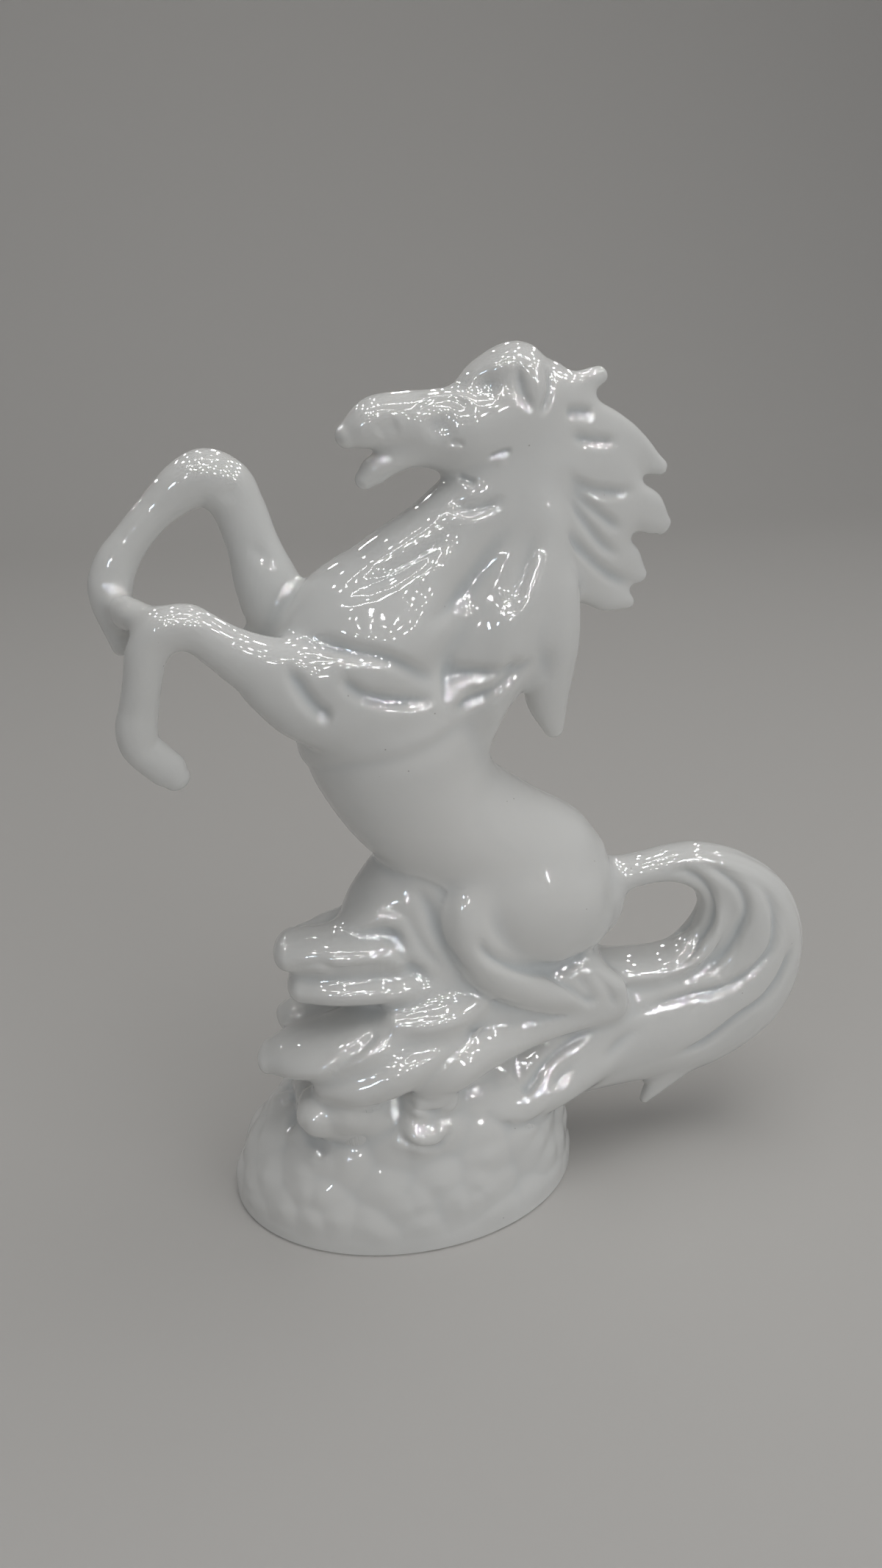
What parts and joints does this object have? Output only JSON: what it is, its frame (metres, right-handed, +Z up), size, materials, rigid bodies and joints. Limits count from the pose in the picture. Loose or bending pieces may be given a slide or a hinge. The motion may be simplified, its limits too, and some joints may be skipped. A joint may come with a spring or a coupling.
{
  "type": "porcelain horse figurine",
  "caption": "White glazed porcelain figure of a horse rearing over a crest of rock, its tail swept back in a loop, on a hollow oval mound.",
  "frame": {"origin": "on the table under the middle of the figurine's box", "axes": "+Z up; -X the way the horse looks, with the tail towards +X; -Y its near side, which the picture shows"},
  "size_m": [0.2532, 0.094, 0.2996],
  "materials": {
    "glaze": "white porcelain under a clear glossy glaze"
  },
  "bodies": {
    "root": {"pedestal": "glaze", "crest": "glaze", "upper_ledge": "glaze", "lower_ledge": "glaze", "trunk": "glaze", "neck_and_chest": "glaze", "head": "glaze", "lower_jaw": "glaze", "mane_curl": "glaze", "hanging_lock": "glaze", "mane_fan": "glaze", "near_foreleg": "glaze", "far_foreleg": "glaze", "near_hind_leg": "glaze", "far_hind_leg": "glaze", "tail": "glaze"}
  },
  "joints": []
}
